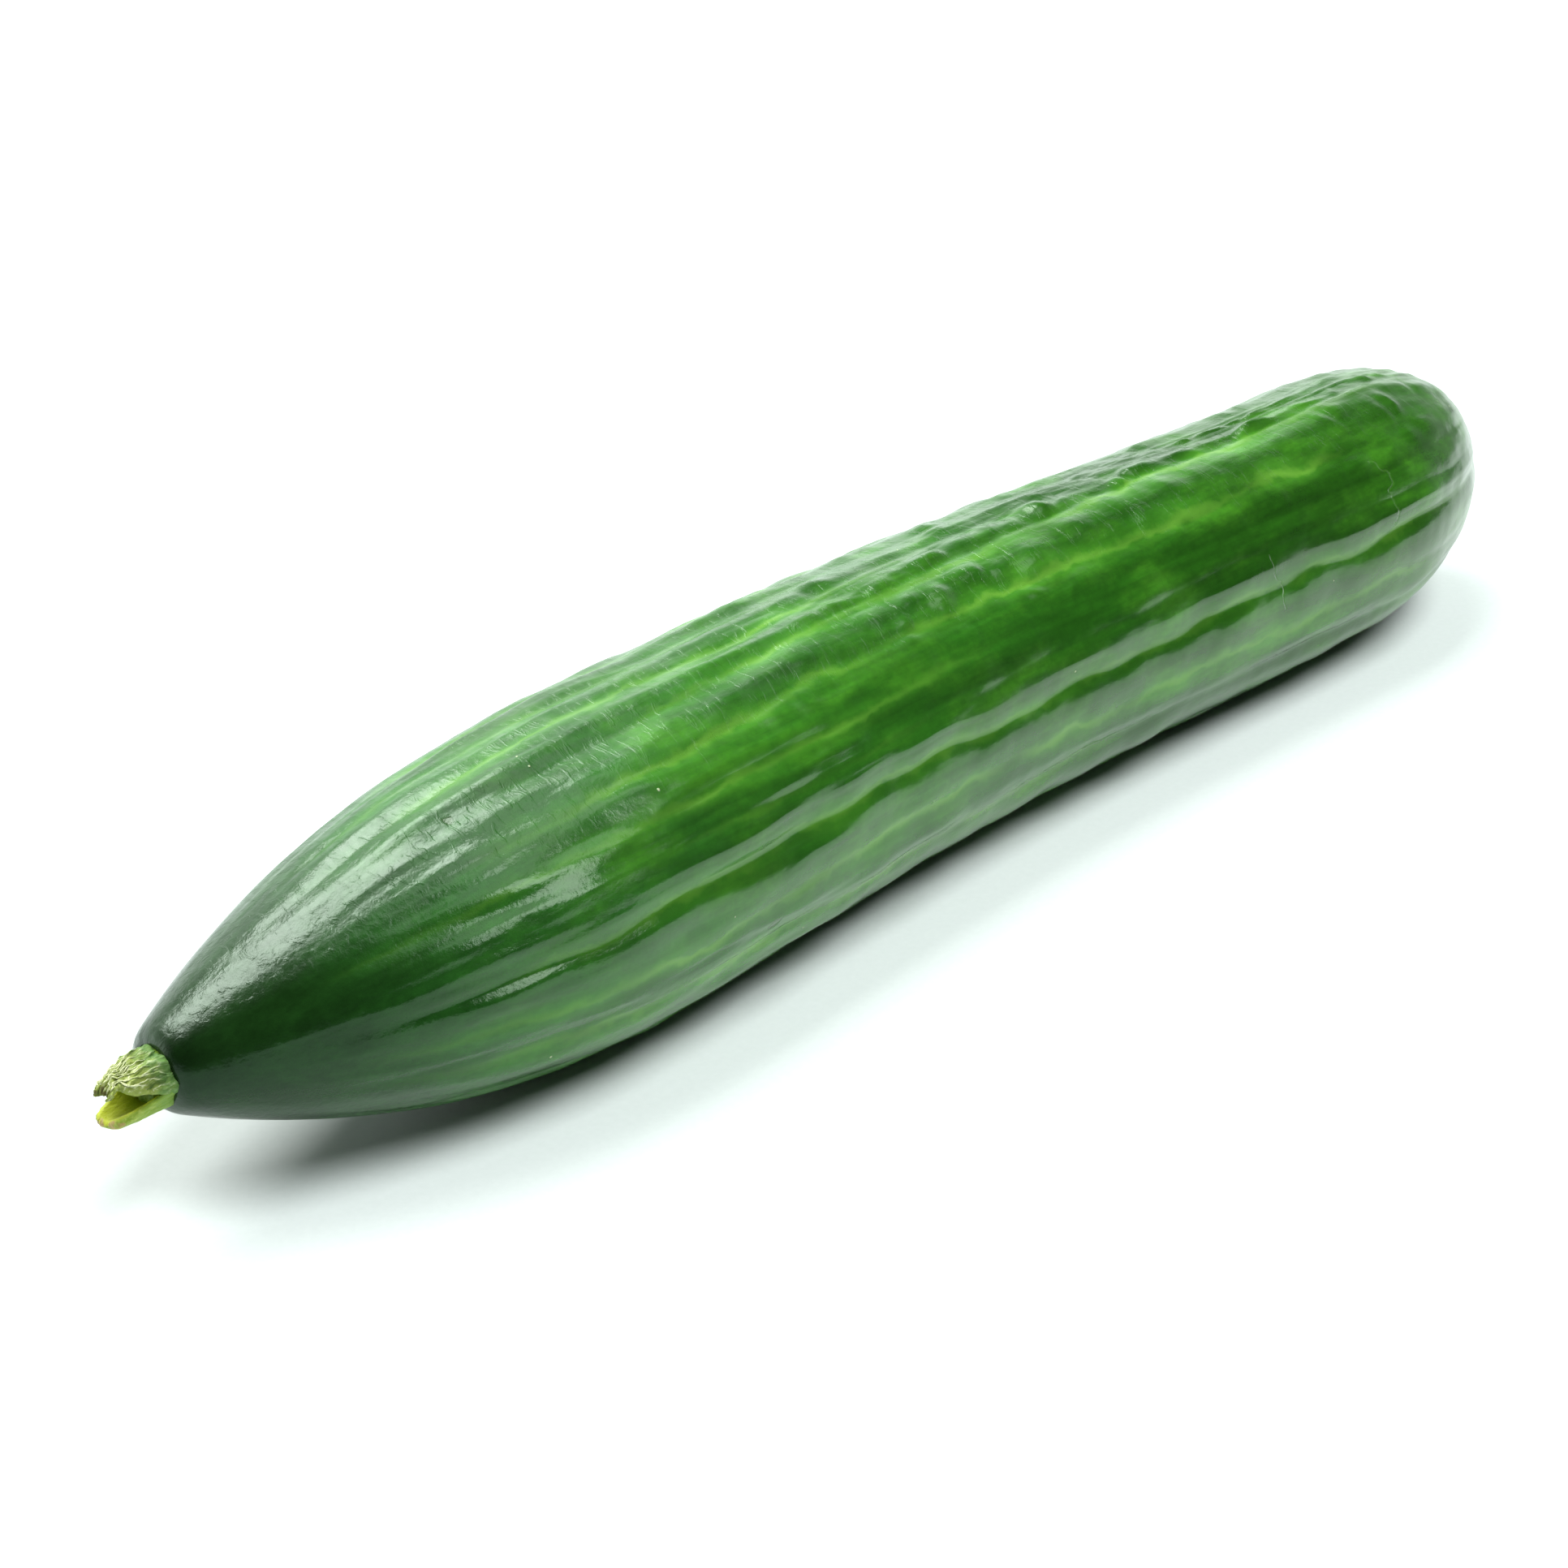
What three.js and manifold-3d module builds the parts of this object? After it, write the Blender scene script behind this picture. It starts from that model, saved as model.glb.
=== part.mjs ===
// A long slicing cucumber lying on its side: one ribbed fruit and the split stub of its stalk.
// Millimetres, +Z up. The stalk points to -X, the blossom end to +X, and the fruit rests on z = 0.

import * as THREE from 'three';
import { mergeVertices } from 'three/addons/utils/BufferGeometryUtils.js';
import Module from 'manifold-3d';

const wasm = await Module();
wasm.setup();

// Fruit: overall form
const fruitLength = 303;
const middleRadius = 24;
const blossomRadius = 23;
const slimFrom = 90;
const slimTo = 243;
const neckLength = 86;
const neckRadius = 5.2;
const neckFullness = 2.6;
const stemRounding = 1.8;
const stemFaceRadius = 4.3;
const capLength = 51;
const capFullness = 2.04;
const scarRadius = 3;
const scarDepth = 0.7;
const scarSlope = 0.4;

// Fruit: how it lies, its slight S bend seen from above, and its upturned blossom end
const restDepth = 0.5;
const swayWidth = 1.8;
const swayLength = 218;
const swayStart = 101;
const tipBendLength = 60;
const tipTurn = 4;
const tipRise = 1.8;
const neckDroop = 0.4;

// Fruit: ribs and grooves. Angles run round the section, 0 at -Y, 90 on top and 270 on the floor
const grooveAngles = [
  -25, -8, 11, 26, 39, 55, 72, 88, 103, 119, 136, 152, 168, 184, 201, 217, 233, 249, 263, 277, 291, 310,
];
const grooveDepth = 0.45;
const grooveFlank = 3.6;
const grooveWander = 1.3;
const wanderLength = 24;
const wanderShift = 1.7;
const crownHeight = 0.15;
const lumpHeight = 0.22;
const lumpLength = 3.4;
const lumpShift = 2.4;
const lumpDrift = 17;
const floorAngle = 270;

// Fruit: where the ribs fade out, as distances from each end and angles from the floor
const neckSmooth = [2, 30];
const capSmooth = [2.5, 20];
const restSmooth = [12, 24];

// Stalk stub: a ridged stalk, torn lengthwise into an upper and a lower lobe
const stubGap = 0.3;
const stubRadius = 4;
const stubRidges = 7;
const stubRidgeDepth = 0.28;
const tearStep = 5.3;
const tearSharpness = 4;
const collarLength = 2.2;
const collarRadius = 3.6;
const collarTaper = 0.9;
const upperLobe = {
  length: 8.5, from: -10, to: 196, tipFrom: 50, tipTo: 108, narrowing: 1.5,
  wall: 2.2, tipWall: 0.9, taper: 0.32, rise: -0.9, bend: 1.6, ragged: 0.8,
};
const lowerLobe = {
  length: 8.5, from: 186, to: 356, tipFrom: 250, tipTo: 326, narrowing: 2,
  wall: 1.2, tipWall: 1.4, taper: 0.14, rise: 0.7, bend: 8, ragged: 0.15,
};

// Mesh fineness
const neckRings = 17;
const neckRingSpacing = 1.35;
const middleRings = 31;
const capRings = 12;
const lobeRings = 11;
const lobeArcSteps = 16;
const collarSides = 36;

const degrees = THREE.MathUtils.degToRad;
const smoothstep = THREE.MathUtils.smoothstep;

// A closed skin over rings that all have the same number of points. Each end is closed by a fan
// to its middle, or, on a folded section, by a strip between its outer and its inner half.
function skinOver(rings, folded = false) {
  const sides = rings[0].length;
  const points = rings.flat();
  const faces = [];
  for (let ring = 0; ring < rings.length - 1; ring++) {
    for (let side = 0; side < sides; side++) {
      const a = ring * sides + side;
      const b = ring * sides + (side + 1) % sides;
      faces.push(a, a + sides, b, b, a + sides, b + sides);
    }
  }
  for (const [ring, first] of [[rings[0], 0], [rings.at(-1), (rings.length - 1) * sides]]) {
    const start = first === 0;
    const close = (a, b, c) => faces.push(...(start ? [a, b, c] : [a, c, b]));
    if (folded) {
      for (let side = 0; side < sides / 2 - 1; side++) {
        const across = sides - 1 - side;
        close(first + side, first + side + 1, first + across);
        close(first + side + 1, first + across - 1, first + across);
      }
    } else {
      const middle = ring.reduce((sum, point) => sum.add(point), new THREE.Vector3()).divideScalar(sides);
      points.push(middle);
      for (let side = 0; side < sides; side++) {
        close(first + side, first + (side + 1) % sides, points.length - 1);
      }
    }
  }
  const geometry = new THREE.BufferGeometry().setFromPoints(points);
  geometry.setIndex(faces);
  return geometry;
}

function toSolid(geometry) {
  const merged = mergeVertices(geometry);
  const mesh = new wasm.Mesh({
    numProp: 3,
    vertProperties: new Float32Array(merged.attributes.position.array),
    triVerts: new Uint32Array(merged.index.array),
  });
  return new wasm.Manifold(mesh);
}

function fromSolid(solid) {
  const mesh = solid.getMesh();
  const geometry = new THREE.BufferGeometry();
  geometry.setAttribute('position', new THREE.BufferAttribute(mesh.vertProperties, 3));
  geometry.setIndex(new THREE.BufferAttribute(mesh.triVerts, 1));
  return geometry;
}

// The fruit's full radius before it narrows at its ends: slightly slimmer to the blossom end
function fullRadius(along) {
  return THREE.MathUtils.lerp(middleRadius, blossomRadius, smoothstep(along, slimFrom, slimTo));
}

// The radius of the skin: a long shoulder to the stalk, a short rounded cap at the blossom
function skinRadius(along) {
  const neck = Math.max(1 - along / neckLength, 0) ** neckFullness;
  const cap = Math.max(along - (fruitLength - capLength), 0) / capLength;
  const shouldered = THREE.MathUtils.lerp(fullRadius(along), neckRadius, neck);
  const stemEdge = Math.max(1 - along / stemRounding, 0);
  const rounded = (neckRadius - stemFaceRadius) * (1 - Math.sqrt(1 - stemEdge ** 2));
  return (shouldered - rounded) * Math.max(1 - cap ** capFullness, 0) ** (1 / capFullness);
}

// The middle line: straight along its underside, swaying a little to each side, bent at both ends
function spinePoint(along) {
  const sway = swayWidth * Math.sin(2 * Math.PI * (along - swayStart) / swayLength);
  const tipBend = Math.max(1 - (fruitLength - along) / tipBendLength, 0) ** 2;
  const neckBend = Math.max(1 - along / neckLength, 0) ** 2;
  const height = fullRadius(along) - restDepth + tipRise * tipBend - neckDroop * neckBend;
  return new THREE.Vector3(along, sway + tipTurn * tipBend, height);
}

// The angle of a groove, which wanders a little along the fruit. Groove 22 is groove 0 again
function grooveAngle(groove, along) {
  const count = grooveAngles.length;
  const angle = grooveAngles[groove % count] + 360 * Math.floor(groove / count);
  return angle + grooveWander * Math.sin(along / wanderLength + wanderShift * (groove % count));
}

// How far the ribbed skin stands off its smooth section. Grooves are sunk, the ribs between them
// are crowned and lumpy, and all fade out at both ends and where the fruit rests.
function ribRelief(along, angle, rib, place) {
  const fromFloor = Math.abs(THREE.MathUtils.euclideanModulo(angle - floorAngle + 180, 360) - 180);
  const fade = smoothstep(along, ...neckSmooth)
    * smoothstep(fruitLength - along, ...capSmooth)
    * smoothstep(fromFloor, ...restSmooth);
  const lump = Math.sin(along / lumpLength + lumpShift * rib + Math.sin(along / lumpDrift + rib));
  const profile = { groove: -grooveDepth, flank: 0, crown: crownHeight + lumpHeight * lump };
  return fade * profile[place];
}

function fruitRing(along) {
  const centre = spinePoint(along);
  const radius = skinRadius(along);
  const ring = [];
  for (let rib = 0; rib < grooveAngles.length; rib++) {
    const groove = grooveAngle(rib, along);
    const next = grooveAngle(rib + 1, along);
    const steps = [
      ['groove', groove],
      ['flank', groove + grooveFlank],
      ['crown', (groove + next) / 2],
      ['flank', next - grooveFlank],
    ];
    for (const [place, angle] of steps) {
      const reach = radius + ribRelief(along, angle, rib, place);
      const y = centre.y - reach * Math.cos(degrees(angle));
      const z = centre.z + reach * Math.sin(degrees(angle));
      ring.push(new THREE.Vector3(along, y, Math.max(z, 0)));
    }
  }
  return ring;
}

// Closely spaced rings where the fruit curves most, at the stalk and in the blossom cap
function fruitStations() {
  const stations = [0, stemRounding / 3, stemRounding];
  const capStart = fruitLength - capLength;
  for (let ring = 1; ring <= neckRings; ring++) {
    stations.push(stemRounding + (neckLength - stemRounding) * (ring / neckRings) ** neckRingSpacing);
  }
  for (let ring = 1; ring <= middleRings; ring++) {
    stations.push(THREE.MathUtils.lerp(neckLength, capStart, ring / middleRings));
  }
  for (let ring = 1; ring < capRings; ring++) {
    stations.push(capStart + capLength * Math.sin(ring / capRings * Math.PI / 2));
  }
  return stations;
}

function fruitGeometry() {
  const rings = fruitStations().map(fruitRing);
  const tip = spinePoint(fruitLength);
  const scarRim = rings.at(-1).map((point) => {
    const out = new THREE.Vector3(0, point.y - tip.y, point.z - tip.z).setLength(scarRadius);
    return out.add(new THREE.Vector3(fruitLength, tip.y, tip.z));
  });
  const scarFloor = scarRim.map((point) => {
    return point.clone().lerp(tip, scarSlope).setX(fruitLength - scarDepth);
  });
  return skinOver([...rings, scarRim, scarFloor]);
}

// One torn lobe of the stalk: a trough of the stalk's own wall, lofted outwards to a ragged tip.
// Its sides close in and it tapers and rises by powers of the distance, which say how late.
function lobeGeometry(lobe) {
  const { lerp } = THREE.MathUtils;
  const rings = [];
  for (let step = lobeRings; step >= 0; step--) {
    const out = Math.sin(step / lobeRings * Math.PI / 2);
    const narrowed = out ** lobe.narrowing;
    const bent = out ** lobe.bend;
    const radius = stubRadius * (1 - lobe.taper * bent);
    const inside = radius - lerp(lobe.wall, lobe.tipWall, out);
    const lift = lobe.rise * bent;
    const outer = [];
    const inner = [];
    for (let arc = 0; arc <= lobeArcSteps; arc++) {
      const start = lerp(lobe.from, lobe.tipFrom, narrowed);
      const angle = lerp(start, lerp(lobe.to, lobe.tipTo, narrowed), arc / lobeArcSteps);
      const ridge = stubRidgeDepth * Math.cos(degrees(stubRidges * angle));
      const tear = lobe.ragged * (Math.sin(tearStep * arc + lobe.from) - 1) * out ** tearSharpness;
      const x = -stubGap - lobe.length * out - tear;
      outer.push(aroundStalk(x, radius + ridge, angle, lift));
      inner.unshift(aroundStalk(x, inside, angle, lift));
    }
    rings.push([...outer, ...inner]);
  }
  return skinOver(rings, true);
}

function aroundStalk(x, reach, angle, lift = 0) {
  return new THREE.Vector3(x, -reach * Math.cos(degrees(angle)), reach * Math.sin(degrees(angle)) + lift);
}

// The whole stalk inside the roots of the lobes, a blunt cone on a round foot
function collarGeometry() {
  const rings = [1, 0].map((out) => {
    const ring = [];
    for (let side = 0; side < collarSides; side++) {
      const radius = collarRadius - collarTaper * out;
      ring.push(aroundStalk(-stubGap - collarLength * out, radius, 360 * side / collarSides));
    }
    return ring;
  });
  return skinOver(rings);
}

function stubGeometry() {
  const collar = toSolid(collarGeometry());
  const upper = toSolid(lobeGeometry(upperLobe));
  const lower = toSolid(lobeGeometry(lowerLobe));
  return fromSolid(collar.add(upper).add(lower));
}

const cucumber = new THREE.Group();

const fruit = new THREE.Mesh(
  fruitGeometry(),
  new THREE.MeshStandardMaterial({ color: 0x2f6420, roughness: 0.3, metalness: 0 }),
);
fruit.name = 'fruit';
cucumber.add(fruit);

const stemStub = new THREE.Mesh(
  stubGeometry(),
  new THREE.MeshStandardMaterial({ color: 0x9ab55a, roughness: 0.6, metalness: 0 }),
);
stemStub.name = 'stem_stub';
stemStub.position.copy(spinePoint(0));
cucumber.add(stemStub);

// The origin is the middle of the whole cucumber's footprint, on the surface it lies on
const box = new THREE.Box3().setFromObject(cucumber);
const centre = box.getCenter(new THREE.Vector3());
cucumber.position.set(-centre.x, -centre.y, -box.min.z);

export default cucumber;
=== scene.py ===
import math
import random

import bmesh
import bpy
from mathutils import Euler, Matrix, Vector, noise


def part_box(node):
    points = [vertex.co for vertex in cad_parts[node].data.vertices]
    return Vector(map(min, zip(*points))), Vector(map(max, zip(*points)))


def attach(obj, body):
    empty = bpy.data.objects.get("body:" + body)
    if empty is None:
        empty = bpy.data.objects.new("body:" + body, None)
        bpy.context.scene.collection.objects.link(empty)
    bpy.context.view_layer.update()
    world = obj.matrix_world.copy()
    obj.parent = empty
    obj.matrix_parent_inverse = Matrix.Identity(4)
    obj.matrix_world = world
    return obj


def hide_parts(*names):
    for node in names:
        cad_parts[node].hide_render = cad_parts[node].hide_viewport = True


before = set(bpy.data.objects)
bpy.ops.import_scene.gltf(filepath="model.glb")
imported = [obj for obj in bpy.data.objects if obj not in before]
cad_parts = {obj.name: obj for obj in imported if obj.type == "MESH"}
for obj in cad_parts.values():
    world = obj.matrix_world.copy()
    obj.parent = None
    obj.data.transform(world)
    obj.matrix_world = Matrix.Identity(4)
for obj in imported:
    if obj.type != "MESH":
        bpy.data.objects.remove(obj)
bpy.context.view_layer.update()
bpy.ops.object.select_all(action='DESELECT')

mm = 0.001  # lengths below are in millimetres, Blender's own are in metres


def lerp(start, end, share):
    return start + (end - start) * share


def smoothstep(value, low, high):
    share = min(max((value - low) / (high - low), 0), 1)
    return share * share * (3 - 2 * share)


def noiseAt(x, y, z=0):
    return noise.noise(Vector((x, y, z)))


def toLinear(code, alpha=1):
    # '#rrggbb' as sRGB, turned into the linear colour that a socket wants
    parts = [int(code[i:i + 2], 16) / 255 for i in (1, 3, 5)]
    return [c / 12.92 if c <= 0.04045 else ((c + 0.055) / 1.055) ** 2.4 for c in parts] + [alpha]


# settings that nodes share
smooth = {'interpolation_type': 'SMOOTHSTEP'}
colours = {'data_type': 'RGBA'}
plus = {'operation': 'ADD'}
minus = {'operation': 'SUBTRACT'}
times = {'operation': 'MULTIPLY'}
timesPlus = {'operation': 'MULTIPLY_ADD'}
timesClamped = {'operation': 'MULTIPLY', 'use_clamp': True}
larger = {'operation': 'MAXIMUM'}
unsigned = {'operation': 'ABSOLUTE'}


def addNode(tree, kind, settings=None, **inputs):
    # inputs are socket names or i0, i1... with a value, a node or another node's socket
    made = tree.nodes.new('ShaderNode' + kind)
    for name, value in (settings or {}).items():
        setattr(made, name, value)
    for name, value in inputs.items():
        if name[0] == 'i' and name[1:].isdigit():
            socket = made.inputs[int(name[1:])]
        else:
            wanted = name.replace('_', ' ')
            socket = next(s for s in made.inputs if s.enabled and s.name == wanted)
        if isinstance(value, bpy.types.Node):
            value = next(s for s in value.outputs if s.enabled)
        if isinstance(value, bpy.types.NodeSocket):
            tree.links.new(value, socket)
        else:
            socket.default_value = value
    return made


def span(low, high, start=0, end=1):
    # the inputs with which a Map Range node turns low to high into start to end
    return {'From_Min': low, 'From_Max': high, 'To_Min': start, 'To_Max': end}


def newMaterial(name):
    made = bpy.data.materials.new(name)
    made.use_nodes = True
    made.node_tree.nodes.clear()
    return made, made.node_tree


def setRamp(rampNode, stops):
    ramp = rampNode.color_ramp
    while len(ramp.elements) > 1:
        ramp.elements.remove(ramp.elements[-1])
    for index, (position, code) in enumerate(stops):
        stop = ramp.elements[0] if index == 0 else ramp.elements.new(position)
        stop.position = position
        stop.color = toLinear(code)


def selectIn(mesh, wanted, kind='VERT'):
    # in edit mode: selects only the vertices, edges or faces for which wanted(element) is true
    bpy.ops.mesh.select_mode(type=kind)
    bpy.ops.mesh.select_all(action='DESELECT')
    made = bmesh.from_edit_mesh(mesh)
    for element in {'VERT': made.verts, 'EDGE': made.edges, 'FACE': made.faces}[kind]:
        if wanted(element):
            element.select_set(True)
    made.select_flush_mode()
    bmesh.update_edit_mesh(mesh)


def setLayer(mesh, name, values):
    layer = mesh.attributes.new(name, 'FLOAT', 'POINT')
    for index, value in values.items():
        layer.data[index].value = value


def makeTube(name, sides, steps, start, length, centre, radius, placeOf):
    # an open tube along X, cut into rings, whose every point is then put at placeOf(index, ring, side)
    bpy.ops.object.select_all(action='DESELECT')
    middle = ((start + length / 2) * mm, centre[0] * mm, centre[1] * mm)
    bpy.ops.mesh.primitive_cylinder_add(
        vertices=sides, radius=radius * mm, depth=length * mm, end_fill_type='NOTHING',
        location=middle, rotation=(0, math.pi / 2, 0))
    made = bpy.context.object
    made.name = name
    bpy.ops.object.transform_apply(location=True, rotation=True, scale=True)
    mesh = made.data
    bpy.ops.object.mode_set(mode='EDIT')
    cuts = (steps - 1,) if steps <= 100 else (steps // 4 - 1, 3)  # Subdivide makes 100 cuts at most
    for number in cuts:
        selectIn(mesh, lambda e: abs((e.verts[0].co - e.verts[1].co).normalized().x) > 0.9, 'EDGE')
        bpy.ops.mesh.subdivide(number_cuts=number)
    bpy.ops.object.mode_set(mode='OBJECT')
    for vertex in mesh.vertices:
        ring = round((vertex.co.x / mm - start) / length * steps)
        turn = math.atan2(vertex.co.z / mm - centre[1], centre[0] - vertex.co.y / mm)
        side = round(turn / (2 * math.pi) * sides) % sides
        vertex.co = placeOf(vertex.index, ring, side)
    return made


view = {
    'azimuth': -48.673, 'elevation': 26, 'distance': 440, 'target': (-34.36, -2.57, 21.33),
    'lens': 69.24, 'sensorWidth': 36, 'nearest': 10,
}

cameraData = bpy.data.cameras.new('camera')
cameraData.lens = view['lens']
cameraData.sensor_width = view['sensorWidth']
cameraData.clip_start = view['nearest'] * mm
camera = bpy.data.objects.new('camera', cameraData)
bpy.context.scene.collection.objects.link(camera)
tilt = math.radians(90 - view['elevation'])
camera.rotation_euler = Euler((tilt, 0, math.radians(view['azimuth'])))
back = camera.rotation_euler.to_matrix() @ Vector((0, 0, 1))
camera.location = (Vector(view['target']) + back * view['distance']) * mm
bpy.context.scene.camera = camera
bpy.context.scene.view_settings.view_transform = 'Standard'
print('camera placed')


fruit = {
    'length': 303, 'middleRadius': 24, 'blossomRadius': 23, 'slimming': (90, 243),
    # the shoulder that narrows to the stalk, and the rounded blossom end
    'neckLength': 86, 'neckRadius': 5.2, 'neckFullness': 2.6, 'stemRounding': 1.8, 'stemFaceRadius': 4.3,
    'capLength': 51, 'capFullness': 2.04,
    # how the middle line bends
    'swayWidth': 1.8, 'swayLength': 218, 'swayStart': 101,
    'tipBendLength': 60, 'tipTurn': 4, 'tipRise': 1.8, 'neckDroop': 0.4,
    'sideShift': -0.28,  # the part's origin is the middle of its footprint, not of its spine
    'restDepth': 0.5, 'floorAngle': 270,  # the belly is pressed flat where it rests
    # where the relief fades in: millimetres from the stalk, from the blossom end, degrees from the floor
    'neckSmooth': (2, 30), 'capSmooth': (2.5, 20), 'restSmooth': (12, 24),
    # the mesh: capTurn is the part of a quarter turn that the cap's rings cover
    'sides': 264, 'neckRings': 80, 'middleRings': 190, 'capRings': 74,
    'neckSpacing': 1.2, 'capTurn': 0.92,
    # what closes the ends: steps of (distance outwards along X, radius)
    'blossomScar': [(0.3, 3.2), (0.15, 2.7), (-0.1, 2.3), (-0.35, 1.9), (-0.2, 1.2), (0.1, 0.5)],
    'stalkSeat': [(-0.1, 3.9), (0.15, 3.3), (0.5, 2.4), (0.3, 1)],
}
ribs = {
    # degrees round the section: 0 towards -Y, 90 on top, 270 on the floor
    'grooves': [-25, -8, 11, 26, 39, 55, 72, 88, 103, 119, 136, 152, 168, 184, 201, 217, 233, 249, 263,
                277, 291, 310],
    'ribWidth': 6.9,  # of a usual rib round the middle
    # each groove wanders a few degrees along the fruit, and some turn by the blossom end
    'wander': 1.3, 'wanderLength': 24, 'wanderShift': 1.7,
    'wave': 1.6, 'waveLength': 13, 'waveFrom': (20, 110), 'waveOf': {1: 2.2, 2: 2.6, 5: 1.6},
    'drift': {6: 8, 7: 5}, 'driftFrom': (75, 200),
    # depth of a groove, how much of it some have, and the width and shape of its flanks
    'depth': 0.55,
    'depthOf': {0: 1.3, 1: 0.8, 2: 1.9, 3: 0.15, 4: 0.5, 5: 1.3, 6: 1.5, 7: 1.5, 8: 1.4},
    'evenDepth': 0.85, 'unevenDepth': 0.6, 'unevenLength': 30, 'flank': 2.2, 'flankPower': 1.4,
    # the crown between two grooves is arched and has lumps
    'crown': 0.16, 'crownPower': 0.8, 'lump': 0.36, 'lumpLength': 11,
    'neckRelief': 0.3, 'fullFrom': (15, 85), 'capRelief': 0.4, 'capFrom': (236, 268),
}
knuckles = {
    # low pillows of uneven length with creases between them, mostly on the upper side
    'height': 1.25, 'length': 8.2, 'across': 1.1, 'shift': 0.4, 'shiftLength': 9, 'pillowEdge': 0.95,
    'crownPower': 0.45, 'even': 0.85, 'uneven': 0.5, 'unevenLength': 21,
    'from': (70, 140), 'cap': (8, 38),  # millimetres from the stalk, and from the blossom end
    'side': (36, 62), 'sideShare': 0.04, 'back': (88, 120), 'backShare': 0.4,  # degrees, what is left
}
unevenness = {
    # broad swells, streaks along the fruit and fine unevenness, each with its height and where it begins
    'swell': 0.35, 'swellLength': 16, 'swellRound': 1.5, 'swellFrom': (60, 130),
    'streak': 0.55, 'streakLengths': (20, 11), 'streakRound': (5.2, 11), 'streakFrom': (12, 40),
    'streakTo': (95, 150), 'streakRest': 0.2,
    'fine': 0.08, 'fineRound': (4.1, 9.3), 'fineFrom': (10, 90),
    'second': 0.4,  # share of the finer of two patterns
}
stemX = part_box('fruit')[0].x / mm


def fullRadius(along):
    return lerp(fruit['middleRadius'], fruit['blossomRadius'], smoothstep(along, *fruit['slimming']))


def skinRadius(along):
    neck = max(1 - along / fruit['neckLength'], 0) ** fruit['neckFullness']
    cap = max(along - (fruit['length'] - fruit['capLength']), 0) / fruit['capLength']
    shouldered = lerp(fullRadius(along), fruit['neckRadius'], neck)
    stemEdge = max(1 - along / fruit['stemRounding'], 0)
    rounded = (fruit['neckRadius'] - fruit['stemFaceRadius']) * (1 - math.sqrt(1 - stemEdge ** 2))
    return (shouldered - rounded) * max(1 - cap ** fruit['capFullness'], 0) ** (1 / fruit['capFullness'])


def spinePoint(along):
    swayTurn = 2 * math.pi * (along - fruit['swayStart']) / fruit['swayLength']
    sway = fruit['swayWidth'] * math.sin(swayTurn)
    tipBend = max(1 - (fruit['length'] - along) / fruit['tipBendLength'], 0) ** 2
    neckBend = max(1 - along / fruit['neckLength'], 0) ** 2
    height = fullRadius(along) - fruit['restDepth'] + fruit['tipRise'] * tipBend
    height -= fruit['neckDroop'] * neckBend
    return Vector((stemX + along, fruit['sideShift'] + sway + fruit['tipTurn'] * tipBend, height))


# factors such as 7.3 and 3.7 below keep the noise of one rib apart from that of the next
def grooveAngle(groove, along):
    count = len(ribs['grooves'])
    own = groove % count
    angle = ribs['grooves'][own] + 360 * (groove // count)
    angle += ribs['drift'].get(own, 0) * smoothstep(along, *ribs['driftFrom'])
    wave = noiseAt(along / ribs['waveLength'], own * 7.3, 8) * smoothstep(along, *ribs['waveFrom'])
    slow = math.sin(along / ribs['wanderLength'] + ribs['wanderShift'] * own)
    return angle + ribs['wander'] * slow + ribs['wave'] * ribs['waveOf'].get(own, 1) * wave


def grooveHeight(along, rib, part):
    # below zero in and near the nearer groove; part runs from 0 to 1 across the rib
    nearest = rib if part < 0.5 else (rib + 1) % len(ribs['grooves'])
    width = math.radians(grooveAngle(rib + 1, along) - grooveAngle(rib, along)) * skinRadius(along)
    away = min(part, 1 - part) * width
    uneven = noiseAt(nearest * 3.7, along / ribs['unevenLength'])
    strength = (ribs['evenDepth'] + ribs['unevenDepth'] * uneven) * ribs['depthOf'].get(nearest, 1)
    strength *= lerp(1, ribs['capRelief'], smoothstep(along, *ribs['capFrom']))
    return -ribs['depth'] * strength * math.exp(-(away / ribs['flank']) ** ribs['flankPower'])


def knuckleHeight(along, angle, rib, part):
    shift = knuckles['shift'] * noiseAt(along / knuckles['shiftLength'], rib * 5.3)
    cell = Vector((along / knuckles['length'] + shift, (rib + part) * knuckles['across'], 3))
    near, second = noise.voronoi(cell)[0][:2]
    pillow = smoothstep(second - near, 0, knuckles['pillowEdge']) - 0.5
    uneven = noiseAt(rib * 2.9, along / knuckles['unevenLength'], 4)
    rough = smoothstep(along, *knuckles['from']) * (knuckles['even'] + knuckles['uneven'] * uneven)
    fromFront = (angle + 60) % 360 - 60
    rough *= lerp(knuckles['sideShare'], 1, smoothstep(fromFront, *knuckles['side']))
    rough *= lerp(1, knuckles['backShare'], smoothstep(fromFront, *knuckles['back']))
    rough *= smoothstep(fruit['length'] - along, *knuckles['cap'])
    return knuckles['height'] * rough * pillow


def unevenHeight(along, angle):
    turn = math.radians(angle)
    size = unevenness['swellRound']
    around = Vector((along / unevenness['swellLength'], math.cos(turn) * size, math.sin(turn) * size))
    swell = noise.noise(around) * unevenness['swell'] * smoothstep(along, *unevenness['swellFrom'])
    streak = 0
    fine = 0
    shares = (1, unevenness['second'])
    for share, length, scale in zip(shares, unevenness['streakLengths'], unevenness['streakRound']):
        streak += noiseAt(along / length, around.y * scale, around.z * scale) * share
    for share, scale in zip(shares, unevenness['fineRound']):
        fine += noise.noise(around * scale) * share
    streak *= unevenness['streak']
    streak *= smoothstep(along, *unevenness['streakFrom'])
    streak *= lerp(1, unevenness['streakRest'], smoothstep(along, *unevenness['streakTo']))
    return swell + streak + fine * unevenness['fine'] * smoothstep(along, *unevenness['fineFrom'])


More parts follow.
